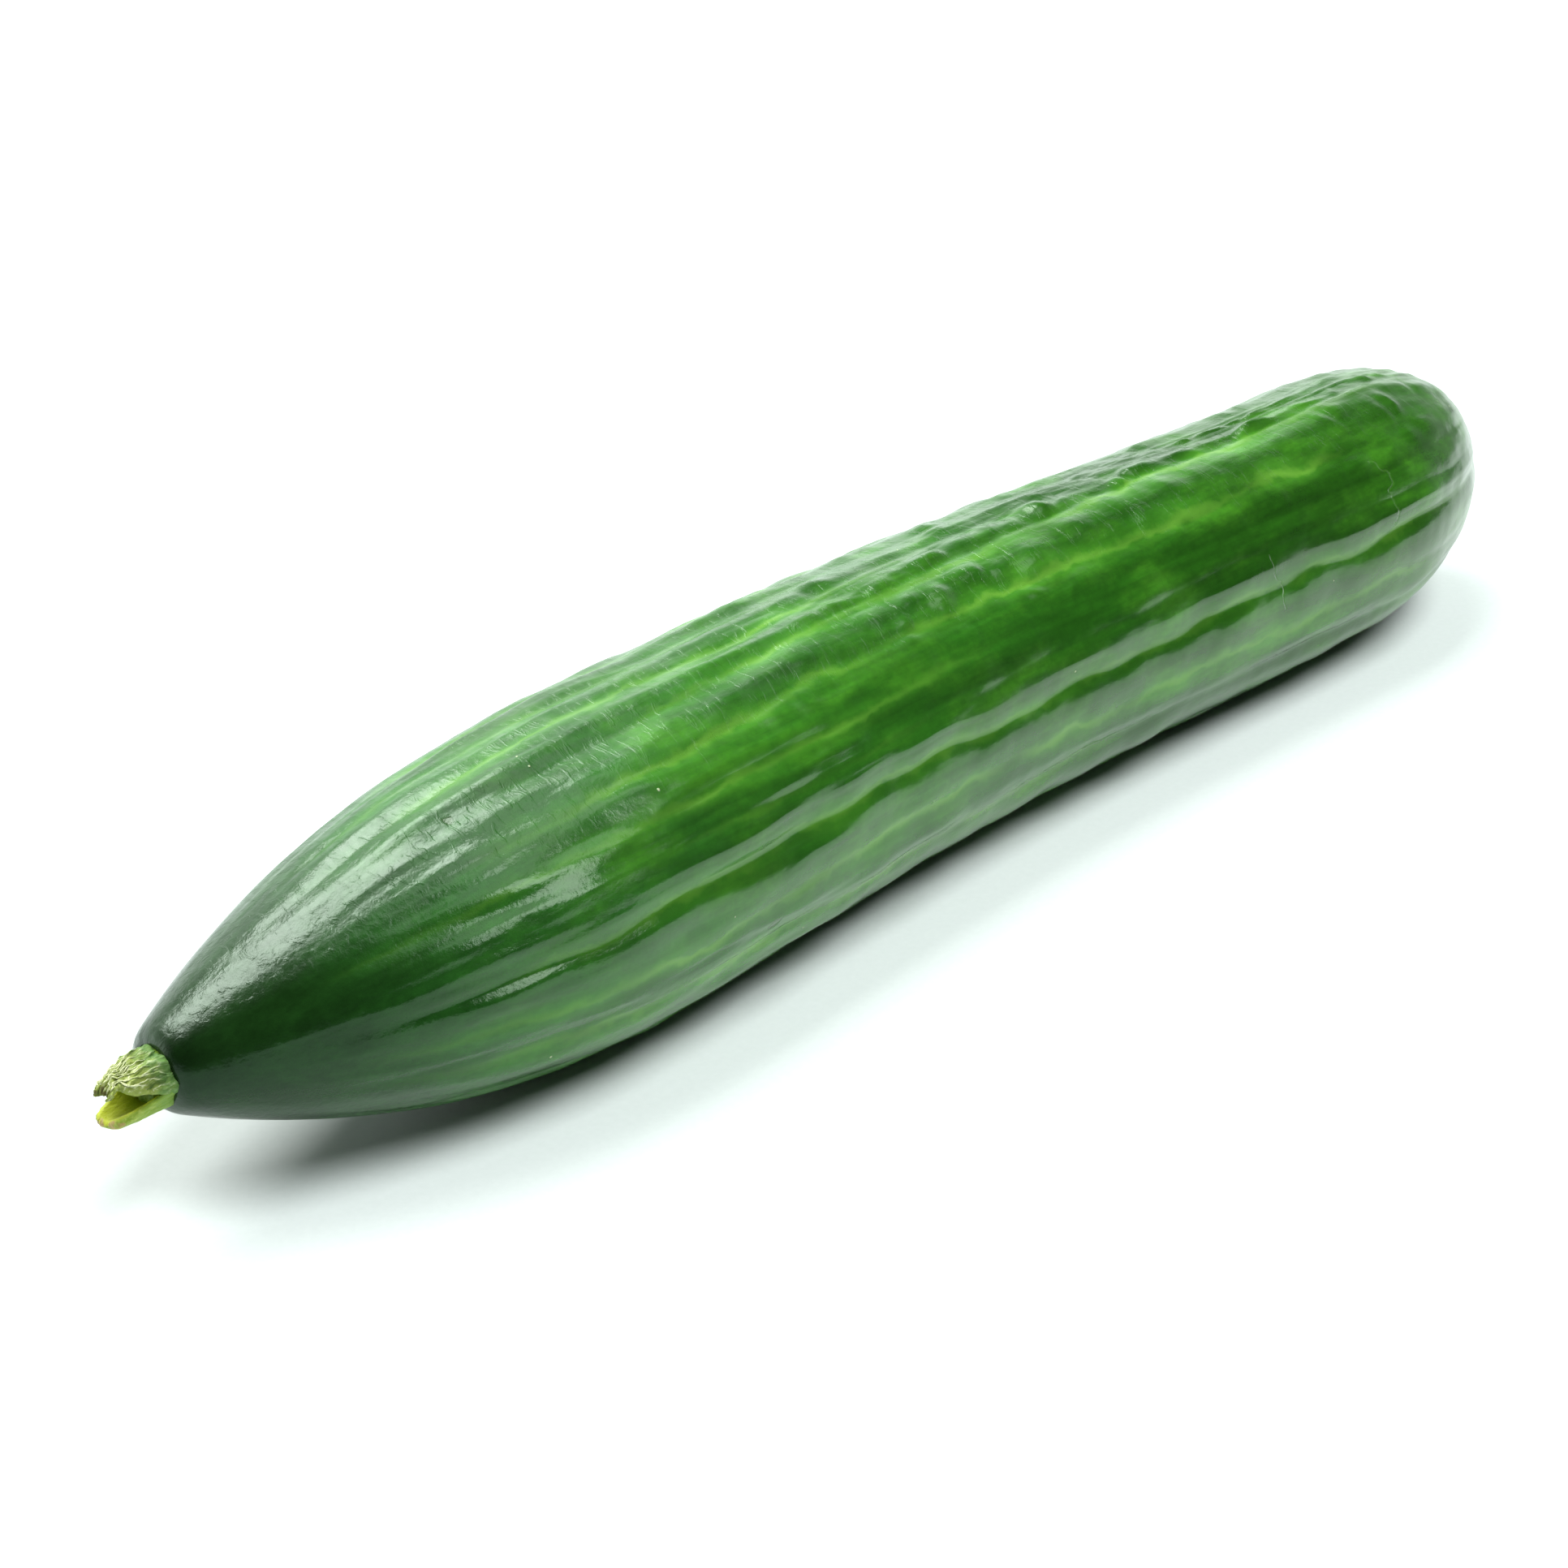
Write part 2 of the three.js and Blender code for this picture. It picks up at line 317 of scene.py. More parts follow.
def relief(along, angle, rib, part):
    # how far the skin stands off its smooth section
    fromFloor = abs((angle - fruit['floorAngle'] + 180) % 360 - 180)
    toTip = fruit['length'] - along
    ends = smoothstep(along, *fruit['neckSmooth']) * smoothstep(toTip, *fruit['capSmooth'])
    ends *= lerp(ribs['neckRelief'], 1, smoothstep(along, *ribs['fullFrom']))
    crown = math.sin(math.pi * part)
    lump = noiseAt(along / ribs['lumpLength'], rib * 3.3, 2)
    detail = grooveHeight(along, rib, part)
    detail += (ribs['crown'] + ribs['lump'] * lump) * crown ** ribs['crownPower']
    detail += knuckleHeight(along, angle, rib, part) * crown ** knuckles['crownPower']
    return smoothstep(fromFloor, *fruit['restSmooth']) * (ends * detail + unevenHeight(along, angle))


def skinPoint(along, ribPlace):
    rib = int(ribPlace)
    part = ribPlace - rib
    angle = lerp(grooveAngle(rib, along), grooveAngle(rib + 1, along), part)
    turn = math.radians(angle)
    reach = skinRadius(along) + relief(along, angle, rib, part)
    point = spinePoint(along) + Vector((0, -math.cos(turn), math.sin(turn))) * reach
    point.z = max(point.z, 0)
    return point * mm


def stations():
    # distances of the rings from the stalk, closer together at the neck and in the cap
    neck, middle, cap = fruit['neckRings'], fruit['middleRings'], fruit['capRings']
    capStart = fruit['length'] - fruit['capLength']
    lastAngle = fruit['capTurn'] * math.pi / 2
    places = [fruit['neckLength'] * (i / neck) ** fruit['neckSpacing'] for i in range(neck)]
    places += [lerp(fruit['neckLength'], capStart, i / middle) for i in range(middle)]
    places += [capStart + fruit['capLength'] * math.sin(lastAngle * i / cap) for i in range(cap + 1)]
    return places


def makeFruit():
    places = stations()
    perRib = fruit['sides'] // len(ribs['grooves'])
    seen = {}

    def placeOf(index, ring, side):
        seen[index] = (side / perRib, places[ring])
        return skinPoint(places[ring], side / perRib)

    made = makeTube('cucumber_skin', fruit['sides'], len(places) - 1, stemX, fruit['length'],
                    (0, fruit['middleRadius']), fruit['middleRadius'], placeOf)
    for title, part in (('rib', 0), ('along', 1)):
        setLayer(made.data, title, {index: values[part] for index, values in seen.items()})
    print('fruit rings placed')
    return made


def closeEnds(made):
    # the stalk end turns in behind the stalk, the blossom end has a low round scar with a sunk middle
    mesh = made.data
    bpy.context.view_layer.objects.active = made
    bpy.ops.object.mode_set(mode='EDIT')
    for furthest, steps in ((max, fruit['blossomScar']), (min, fruit['stalkSeat'])):
        ringX = furthest(v.co.x for v in bmesh.from_edit_mesh(mesh).verts)
        selectIn(mesh, lambda v: abs(v.co.x - ringX) < 0.001 * mm)
        picked = [v.co.copy() for v in bmesh.from_edit_mesh(mesh).verts if v.select]
        centre = sum(picked, Vector()) / len(picked)
        radius = (picked[0] - centre).length / mm
        for out, wanted in steps:
            scale = wanted / radius
            bpy.ops.mesh.extrude_region_move(TRANSFORM_OT_translate={'value': (out * mm, 0, 0)})
            bpy.ops.transform.resize(value=(1, scale, scale), center_override=centre)
            radius = wanted
        bpy.ops.mesh.merge(type='CENTER')
    bpy.ops.mesh.select_all(action='SELECT')
    bpy.ops.mesh.normals_make_consistent(inside=False)
    bpy.ops.object.mode_set(mode='OBJECT')
    bpy.ops.object.shade_smooth()
    print('fruit ends closed')


def mapSkin(made):
    # the UV map that the skin's patterns follow: ribs across, millimetres from the stalk along
    mesh = made.data
    uvs = mesh.uv_layers['UVMap'] if 'UVMap' in mesh.uv_layers else mesh.uv_layers.new()
    uvs.name = 'skin'
    ribAt = mesh.attributes['rib'].data
    alongAt = mesh.attributes['along'].data
    count = len(ribs['grooves'])
    for face in mesh.polygons:
        places = [ribAt[v].value for v in face.vertices]
        crossesSeam = max(places) - min(places) > count / 2
        for loop, vertex, place in zip(face.loop_indices, face.vertices, places):
            across = place + count if crossesSeam and place < count / 2 else place
            uvs.data[loop].uv = (across, alongAt[vertex].value)


paleLines = {
    # by groove: where its line starts and ends along the fruit, and its strength
    'seen': {
        0: (35, 160, 0.6), 1: (32, 250, 0.7), 2: (40, 265, 0.6), 3: (60, 110, 0.25), 4: (30, 125, 0.55),
        5: (50, 240, 0.75), 6: (78, 262, 0.7), 7: (38, 130, 0.85), 8: (25, 110, 0.35),
    },
    # drawn for the other grooves
    'start': (20, 60), 'end': (120, 290), 'strength': (0.3, 0.8), 'seed': 7,
    'fadeIn': (-15, 25), 'fadeOut': (-25, 30), 'even': 0.75, 'uneven': 0.9, 'unevenLength': 15,
}
bloom = {
    # the rubbed, frosty wax: round this angle, fading over these degrees and these distances
    'angle': 92, 'sides': (26, 52), 'from': (-30, 25), 'to': (85, 150), 'rest': 0.28,
    'even': 0.8, 'uneven': 0.6, 'patchLength': 11, 'patchAngle': 14,
    'creasedTo': (14, 60),  # the fine creases end this far from the blossom end
}


def addSkinMasks(made):
    # kept on the vertices: how strong each groove's pale line is, where the wax is rubbed and frosty
    # instead of polished, and where the skin has fine creases
    mesh = made.data
    ribAt = mesh.attributes['rib'].data
    alongAt = mesh.attributes['along'].data
    count = len(ribs['grooves'])
    lines = dict(paleLines['seen'])
    draw = random.Random(paleLines['seed'])
    for groove in range(count):
        if groove not in lines:
            lines[groove] = [draw.uniform(*paleLines[part]) for part in ('start', 'end', 'strength')]
    lineAt = {}
    bloomAt = {}
    creasedAt = {}
    for vertex in mesh.vertices:
        place = ribAt[vertex.index].value
        along = alongAt[vertex.index].value
        groove = round(place) % count
        start, end, strength = lines[groove]
        on = smoothstep(along - start, *paleLines['fadeIn'])
        on *= 1 - smoothstep(along - end, *paleLines['fadeOut'])
        patchy = noiseAt(groove * 4.1, along / paleLines['unevenLength'])
        lineAt[vertex.index] = strength * on * (paleLines['even'] + paleLines['uneven'] * patchy)
        angle = lerp(grooveAngle(int(place), along), grooveAngle(int(place) + 1, along), place % 1)
        fromTop = abs((angle - bloom['angle'] + 180) % 360 - 180)
        worn = noiseAt(along / bloom['patchLength'], angle / bloom['patchAngle'], 6)
        upper = (1 - smoothstep(fromTop, *bloom['sides'])) * smoothstep(along, *bloom['from'])
        upper *= bloom['even'] + bloom['uneven'] * worn
        bloomAt[vertex.index] = upper * lerp(1, bloom['rest'], smoothstep(along, *bloom['to']))
        creasedAt[vertex.index] = upper * smoothstep(fruit['length'] - along, *bloom['creasedTo'])
    setLayer(mesh, 'line', lineAt)
    setLayer(mesh, 'bloom', bloomAt)
    setLayer(mesh, 'creased', creasedAt)


marks = {
    # healed scars: rib place, millimetres from the stalk, radius
    'scars': [(6.2, 43, 0.9), (0.5, 87, 1.3), (13.4, 152, 1.1), (18.7, 96, 0.8), (10.1, 214, 0.9)],
    # thin creases round the fruit: millimetres from the stalk, from one rib place, to another
    'creases': [(247, 2.1, 4.4), (213, 1.5, 2.9), (176, 9.2, 11.4)],
}
skinLook = {
    # Sizes are those of a pattern's features in millimetres, and stretch draws them out along the fruit:
    # 0.12 makes them eight times as long. Of four numbers, the last two are what the first two become.
    'ior': 1.6, 'polished': (0.3, 0.7, 0.14, 0.24), 'frosty': (0.35, 0.65, 0.3, 0.44),
    'wax': [(0, '#8aa592'), (0.06, '#9ab2a0'), (0.2, '#e6f9e3'), (1, '#ecffe4')],  # less by the stalk
    'upperWax': '#eefff0', 'upperRange': (0.05, 0.5),
    # near black-green at the stalk, fuller green towards the blossom
    'ground': [(0, '#11280d'), (0.05, '#173811'), (0.13, '#21531a'), (0.3, '#265e15'), (0.6, '#1f520d'),
               (0.85, '#23550e'), (1, '#2e5d19')],
    'blotch': {
        'size': 7.69, 'stretch': 0.45, 'detail': 4, 'roughness': 0.6,
        'range': (0.42, 0.8), 'from': (15, 80), 'colour': '#3b7817',
    },
    # these three shade the ground and its blotches
    'band': {
        'size': 4.76, 'stretch': 0.12, 'detail': 2, 'roughness': 0.5, 'shade': (0.32, 0.68, 0.76, 1.24),
    },
    'streak': {
        'size': 1.11, 'stretch': 0.08, 'detail': 4, 'roughness': 0.6, 'shade': (0.35, 0.7, 0.88, 1.15),
    },
    'grain': {
        'size': 1.818, 'stretch': 1, 'detail': 5, 'roughness': 0.68, 'shade': (0.3, 0.7, 0.86, 1.16),
    },
    # the pale line in a groove: a core of uneven width in a soft halo, both widths in millimetres
    'line': {
        'wobbleSize': 7.69, 'wobble': (0.3, 0.7, -0.1, 0.1),
        'core': '#76ad3e', 'coreShare': 0.52, 'widthSize': 3.33, 'width': (0.35, 0.65, 0.6, 1.6),
        'halo': '#4a9226', 'haloShare': 0.6, 'haloRange': (0.3, 3.2, 1, 0),
    },
    # one cell of the pattern in three has a pinpoint, whose dot is that share of the cell
    'pinpoint': {
        'size': 6.25, 'empty': 0.62, 'dot': (0.02, 0.045, 1, 0),
        'colour': '#aebf92', 'share': 1, 'height': 0.12,
    },
    'scar': {
        'rimSize': 0.769, 'flat': 0.6, 'inner': 0.4, 'outer': 0.6,
        'colour': '#3b4a2c', 'share': 0.6, 'height': -0.12,
    },
    'crease': {
        'width': (0, 0.35, 1, 0), 'wave': 10,
        'colour': '#6fa04c', 'share': 0.12, 'height': -0.06,
    },
    # skin cells, far coarser than the real ones so that they show, and highest on the neck; wrinkles
    'cell': {
        'size': 0.909, 'stretch': 1, 'detail': 3, 'roughness': 0.6, 'heights': (30, 90, 0.06, 0.015),
    },
    'wrinkle': {
        'size': 2.38, 'stretch': 0.35, 'detail': 3, 'roughness': 0.5,
        'height': 0.07, 'upperHeight': 0.12,
    },
    # short strokes across the ribs in the frosty wax
    'stroke': {'size': 1.3333, 'perRib': 2.6, 'range': (0.52, 0.72), 'height': 0.06},
}


def skinMaterial():
    # Cuticle of a glasshouse cucumber: living skin under a thin natural wax. The wax mirrors a lamp
    # with soft edges where it is polished, and is frosty where it is rubbed, on top. The green under
    # it is mottled, streaked along the ribs, and paler in the grooves. IOR 1.6, roughness 0.14-0.44.
    made, tree = newMaterial('waxy_cucumber_skin')
    look = skinLook
    place = addNode(tree, 'SeparateXYZ', Vector=addNode(tree, 'UVMap', {'uv_map': 'skin'}))
    rib = place.outputs[0]
    along = place.outputs[1]
    grownShare = addNode(tree, 'Math', {'operation': 'DIVIDE'}, i0=along, i1=fruit['length'])
    objectPlace = addNode(tree, 'TexCoord').outputs['Object']
    here = addNode(tree, 'VectorMath', {'operation': 'SCALE'}, Vector=objectPlace, Scale=1 / mm)
    patterns = {}
    for name in ('blotch', 'band', 'streak', 'grain', 'cell', 'wrinkle'):
        own = look[name]
        stretched = addNode(tree, 'Mapping', i0=here, i3=(own['stretch'], 1, 1))
        patterns[name] = addNode(tree, 'TexNoise', Vector=stretched, Scale=1 / own['size'],
                                 Detail=own['detail'], Roughness=own['roughness'])
    rubbed = addNode(tree, 'Attribute', {'attribute_name': 'bloom'}).outputs['Fac']
    upperSide = addNode(tree, 'Attribute', {'attribute_name': 'creased'}).outputs['Fac']
    lineStrength = addNode(tree, 'Attribute', {'attribute_name': 'line'}).outputs['Fac']

    # pale line: the distance from the nearest groove, with a slight wobble and a broken strength
    line = look['line']
    wobble = addNode(tree, 'TexNoise', Vector=here, Scale=1 / line['wobbleSize'], Detail=2.5,
                     Roughness=0.5)
    shifted = addNode(tree, 'MapRange', Value=wobble, **span(*line['wobble']))
    ribPlace = addNode(tree, 'Math', plus, i0=rib, i1=shifted)
    nearest = addNode(tree, 'Math', {'operation': 'ROUND'}, i0=ribPlace)
    off = addNode(tree, 'Math', minus, i0=ribPlace, i1=nearest)
    away = addNode(tree, 'Math', unsigned, i0=off)
    awayMm = addNode(tree, 'Math', times, i0=away, i1=ribs['ribWidth'])
    broken = addNode(tree, 'TexNoise', Vector=here, Scale=1 / line['widthSize'], Detail=3, Roughness=0.6)
    width = addNode(tree, 'MapRange', Value=broken, **span(*line['width']))
    core = addNode(tree, 'MapRange', smooth, Value=awayMm, **span(0, width, 1, 0))
    halo = addNode(tree, 'MapRange', smooth, Value=awayMm, **span(*line['haloRange']))
    coreOn = addNode(tree, 'Math', timesClamped, i0=core, i1=lineStrength)
    haloOn = addNode(tree, 'Math', timesClamped, i0=halo, i1=lineStrength)

    # ground colour with blotches, then broad bands, streaks and grain that shade it
    ground = addNode(tree, 'ValToRGB', Fac=grownShare)
    setRamp(ground, look['ground'])
    blotch = look['blotch']
    blotchOn = addNode(tree, 'MapRange', smooth, Value=patterns['blotch'], **span(*blotch['range']))
    grown = addNode(tree, 'MapRange', smooth, Value=along, **span(*blotch['from']))
    blotchShare = addNode(tree, 'Math', times, i0=blotchOn, i1=grown)
    blotched = addNode(tree, 'Mix', colours, Factor=blotchShare, A=ground, B=toLinear(blotch['colour']))
    value = 1
    for name in ('streak', 'grain', 'band'):
        shade = addNode(tree, 'MapRange', Value=patterns[name], **span(*look[name]['shade']))
        value = addNode(tree, 'Math', times, i0=value, i1=shade)
    mottled = addNode(tree, 'HueSaturation', Value=value, Color=blotched)

    # dry pinpoints where the young fruit's spines broke off: one in some cells of a Voronoi pattern
    pin = look['pinpoint']
    cell = addNode(tree, 'TexVoronoi', {'feature': 'F1'}, Vector=here, Scale=1 / pin['size'])
    chosen = addNode(tree, 'SeparateColor', Color=cell.outputs['Color']).outputs[0]
    some = addNode(tree, 'Math', {'operation': 'GREATER_THAN'}, i0=chosen, i1=pin['empty'])
    dot = addNode(tree, 'MapRange', smooth, Value=cell.outputs['Distance'], **span(*pin['dot']))
    pinpoint = addNode(tree, 'Math', times, i0=dot, i1=some)

    # scars and creases, by their distance on the UV map
    scar = look['scar']
    ragged = addNode(tree, 'TexNoise', Vector=here, Scale=1 / scar['rimSize'], Detail=2)
    scarred = None
    for scarRib, scarAlong, radius in marks['scars']:
        across = addNode(tree, 'Math', minus, i0=rib, i1=scarRib)
        acrossMm = addNode(tree, 'Math', times, i0=across, i1=ribs['ribWidth'])
        lengthMm = addNode(tree, 'Math', minus, i0=along, i1=scarAlong)
        both = addNode(tree, 'CombineXYZ', i0=acrossMm, i1=lengthMm)
        distance = addNode(tree, 'VectorMath', {'operation': 'LENGTH'}, i0=both).outputs['Value']
        rough = addNode(tree, 'Math', plus, i0=distance, i1=ragged)
        edges = span(radius * scar['flat'] + scar['inner'], radius + scar['outer'], 1, 0)
        one = addNode(tree, 'MapRange', smooth, Value=rough, **edges)
        scarred = addNode(tree, 'Math', larger, i0=scarred, i1=one) if scarred else one
    crease = look['crease']
    creased = None
    for creaseAlong, low, high in marks['creases']:
        wavy = addNode(tree, 'Math', timesPlus, i0=wobble, i1=crease['wave'],
                       i2=-crease['wave'] / 2 - creaseAlong)
        lengthMm = addNode(tree, 'Math', plus, i0=along, i1=wavy)
        thin = addNode(tree, 'Math', unsigned, i0=lengthMm)
        fold = addNode(tree, 'MapRange', smooth, Value=thin, **span(*crease['width']))
        opened = addNode(tree, 'Math', {'operation': 'COMPARE'}, i0=rib, i1=(low + high) / 2,
                         i2=(high - low) / 2)
        one = addNode(tree, 'Math', times, i0=fold, i1=opened)
        creased = addNode(tree, 'Math', larger, i0=creased, i1=one) if creased else one

    # each of these lies over the colour below it
    skinColour = mottled
    for mask, share, colour in (
            (haloOn, line['haloShare'], line['halo']), (coreOn, line['coreShare'], line['core']),
            (pinpoint, pin['share'], pin['colour']), (creased, crease['share'], crease['colour']),
            (scarred, scar['share'], scar['colour'])):
        shown = addNode(tree, 'Math', times, i0=mask, i1=share)
        skinColour = addNode(tree, 'Mix', colours, Factor=shown, A=skinColour, B=toLinear(colour))

    # height in millimetres: skin cells, fine wrinkles, strokes in the wax, pinpoints, scars and creases
    pimpled = addNode(tree, 'MapRange', smooth, Value=along, **span(*look['cell']['heights']))
    wrinkled = addNode(tree, 'Math', timesPlus, i0=upperSide, i1=look['wrinkle']['upperHeight'],
                       i2=look['wrinkle']['height'])
    acrossRibs = addNode(tree, 'Math', times, i0=rib, i1=look['stroke']['perRib'])
    stroke = addNode(tree, 'TexNoise', Vector=addNode(tree, 'CombineXYZ', i0=acrossRibs, i1=along),
                     Scale=1 / look['stroke']['size'], Detail=3, Roughness=0.6, Distortion=0.6)
    sparse = addNode(tree, 'MapRange', smooth, Value=stroke, **span(*look['stroke']['range']))
    strokeOn = addNode(tree, 'Math', times, i0=sparse, i1=upperSide)
    height = addNode(tree, 'Math', times, i0=patterns['cell'], i1=pimpled)
    for mask, tall in (
            (patterns['wrinkle'], wrinkled), (strokeOn, look['stroke']['height']),
            (pinpoint, pin['height']), (scarred, scar['height']), (creased, crease['height'])):
        height = addNode(tree, 'Math', timesPlus, i0=mask, i1=tall, i2=height)
    bump = addNode(tree, 'Bump', Strength=1, Distance=mm, Height=height)

    # the wax
    polished = addNode(tree, 'MapRange', Value=patterns['blotch'], **span(*look['polished']))
    frosty = addNode(tree, 'MapRange', Value=stroke, **span(*look['frosty']))
    gloss = addNode(tree, 'Mix', Factor=rubbed, A=polished, B=frosty)
    wax = addNode(tree, 'ValToRGB', Fac=grownShare)
    setRamp(wax, look['wax'])
    upper = addNode(tree, 'MapRange', smooth, Value=rubbed, **span(*look['upperRange']))
    waxed = addNode(tree, 'Mix', colours, Factor=upper, A=wax, B=toLinear(look['upperWax']))
    shader = addNode(tree, 'BsdfPrincipled', Base_Color=skinColour, Roughness=gloss, IOR=look['ior'],
                     Specular_Tint=waxed, Normal=bump)
    addNode(tree, 'OutputMaterial', Surface=shader)
    return made


skin = makeFruit()
closeEnds(skin)
mapSkin(skin)
addSkinMasks(skin)
skin.data.materials.clear()
skin.data.materials.append(skinMaterial())
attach(skin, 'root')
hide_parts('fruit')
print('skin finished', len(skin.data.polygons), 'faces')


stalk = {
    'radius': 4, 'ridges': 7, 'ridgeDepth': 0.28, 'sunk': 0.5, 'flare': 0.1, 'flareLength': 0.9,
    # the root is drawn in on its upper side
    'tuck': 0.5, 'tuckLength': 1.3, 'tuckFrom': 20,
    # ragged edges and flakes: their sizes in millimetres along the stalk and degrees round it
    'edgeSizes': (1.1, 0.4), 'notchAt': 0.8, 'notchWidth': 0.09, 'flakeLength': 0.9, 'flakeAngle': 11,
    'teethAngle': 13, 'tipGap': 0.3, 'tipRounding': 0.55, 'rimPoints': 6,
    # torn lengthwise in two: each half is a trough that narrows from (from, to) to (tipFrom, tipTo)
    'upper': {
        'length': 8.8, 'from': -8, 'to': 196, 'tipFrom': 66, 'tipTo': 112,
        'narrowing': 1.25, 'bend': 1.6,
        'wall': 1.9, 'tipWall': 0.9, 'taper': 0.34, 'rise': -1.5, 'teeth': 0.5, 'edge': 7, 'notch': 24,
        'fibre': 0.2, 'flake': 0.34, 'arcPoints': 120, 'rings': 72, 'seed': 3,
    },
    'lower': {
        'length': 8.8, 'from': 188, 'to': 356, 'tipFrom': 250, 'tipTo': 306,
        'narrowing': 1.1, 'bend': 6,
        'wall': 0.75, 'tipWall': 1.2, 'taper': 0.12, 'rise': -0.3, 'teeth': 0.12, 'edge': 2, 'notch': 0,
        'fibre': 0.05, 'flake': 0.07, 'arcPoints': 64, 'rings': 56, 'seed': 11,
    },
}
collar = {
    'length': 3, 'radius': 3.7, 'endRadius': 2.8, 'sides': 48, 'torn': 0.35, 'tornShare': 0.4,
    # the sunk end: steps of (inset, depth)
    'dish': ((0.5, 0.025), (0.6, 0.175), (0.7, 0.2), (0.6, 0.05)),
}
strings = {
    'count': 24, 'radius': 0.085, 'points': 18, 'lift': 0.2, 'sink': 0.04, 'fibre': 0.85, 'seed': 5,
    # shares of the lobe's length where a strand starts, how long it is, and where it ends at the latest
    'start': (0.02, 0.45), 'run': (0.25, 0.6), 'lastEnd': 0.97,
    'drift': 0.06, 'wave': 0.012, 'edgeGap': 0.03, 'width': 0.9, 'thin': 0.35, 'thickness': (0.75, 1.2),
}
seat = spinePoint(0)


def stalkRadius(out):
    # out is the distance from the fruit; the foot spreads a little where it meets the skin
    fromRoot = max(out + stalk['sunk'], 0)
    return stalk['radius'] + stalk['flare'] * math.exp(-fromRoot / stalk['flareLength'])


def roundStalk(out, reach, angle, lift):
    turn = math.radians(angle)
    height = seat.z + reach * math.sin(turn) + lift
    return Vector((seat.x - out, seat.y - reach * math.cos(turn), height))


def fibreAt(lobe, angle, out):
    # -1 to 1: strands that run along the stalk, drift a little and part towards the tip
    across = math.radians(angle) * 9 + 0.9 * noiseAt(out / 2.2, angle / 40, lobe['seed'])
    strand = 1 - 2.4 * abs(noiseAt(across, out / 3.4, lobe['seed'] + 0.5))
    return 0.65 * strand + 0.5 * noiseAt(across * 2.3, out / 1.3, lobe['seed'] + 4)


def lobeSurface(lobe, share, turn, outer, rim=None):
    # share runs from the root to the tip, turn from one torn edge to the other, rim round the edge
    bent = math.sin(share * math.pi / 2)
    narrowed = bent ** lobe['narrowing']
    out = -stalk['sunk'] + (lobe['length'] + stalk['sunk'] - stalk['tipGap']) * bent
    large, small = stalk['edgeSizes']
    torn = noiseAt(out / large, turn * 7, lobe['seed']) + 0.6 * noiseAt(out / small, turn * 9, 2)
    edge = lobe['edge'] * bent * torn
    start = lerp(lobe['from'], lobe['tipFrom'], narrowed) + edge * (1 - turn)
    start += lobe['notch'] * math.exp(-((bent - stalk['notchAt']) / stalk['notchWidth']) ** 2)
    end = lerp(lobe['to'], lobe['tipTo'], narrowed) + edge * turn
    angle = lerp(start, end, turn)

    # the wall: its middle's radius, and half its thickness, rounded off at the tip
    toTip = (lobe['length'] + stalk['sunk']) * (1 - bent)
    wall = lerp(lobe['wall'], lobe['tipWall'], bent)
    rounded = math.sqrt(1 - (1 - min(toTip / (wall * stalk['tipRounding']), 1)) ** 2)
    radius = stalkRadius(out) * (1 - lobe['taper'] * bent ** lobe['bend'])
    upper = max(math.sin(math.radians(angle - stalk['tuckFrom'])), 0)
    radius -= stalk['tuck'] * math.exp(-max(out, 0) / stalk['tuckLength']) * upper
    middle = radius - wall / 2
    half = wall / 2 * rounded

    flake = noiseAt(angle / stalk['flakeAngle'], out / stalk['flakeLength'], lobe['seed'])
    rough = lobe['fibre'] * fibreAt(lobe, angle, out) + lobe['flake'] * flake
    rough *= rounded * smoothstep(out, -stalk['sunk'], 0.6)
    ridge = stalk['ridgeDepth'] * math.cos(math.radians(stalk['ridges'] * angle))
    ridge *= rounded * (1 - 0.5 * bent)
    swing = 0 if outer else math.pi
    if rim is not None:
        swing = rim
        away = math.degrees(half * math.sin(rim) / middle)
        angle += away if turn > 0.5 else -away
    side = math.cos(swing)
    reach = middle + half * side + (ridge + rough) * max(side, 0) + rough * 0.4 * max(-side, 0)
    jagged = 1 - math.sin(angle / stalk['teethAngle'] + lobe['from'])
    jagged += 1.6 * noiseAt(angle / 5, lobe['seed'], 1)
    teeth = lobe['teeth'] * bent ** 4 * jagged
    lift = lobe['rise'] * bent ** lobe['bend']
    return roundStalk(out - teeth, reach, angle, lift), (max(out, 0), side, fibreAt(lobe, angle, out))


def makeLobe(name):
    lobe = stalk[name]
    perSide = lobe['arcPoints'] + stalk['rimPoints']
    seen = {}

    def placeOf(index, ring, side):
        step = side % perSide
        outer = side < perSide
        if step < lobe['arcPoints']:
            turn = step / (lobe['arcPoints'] - 1)
            rim = None
        else:
            turn = 1
            rim = (step - lobe['arcPoints'] + 1) / (stalk['rimPoints'] + 1) * math.pi
            if not outer:
                rim = math.pi - rim
        if not outer:
            turn = 1 - turn
        point, seen[index] = lobeSurface(lobe, 1 - ring / lobe['rings'], turn, outer, rim)
        return point * mm

    made = makeTube('stalk_' + name + '_lobe', 2 * perSide, lobe['rings'], seat.x - lobe['length'],
                    lobe['length'], (seat.y, seat.z), stalk['radius'], placeOf)
    for title, part in (('out', 0), ('outer', 1), ('fibre', 2)):
        setLayer(made.data, title, {index: values[part] for index, values in seen.items()})
    closeRoot(made)
    return made


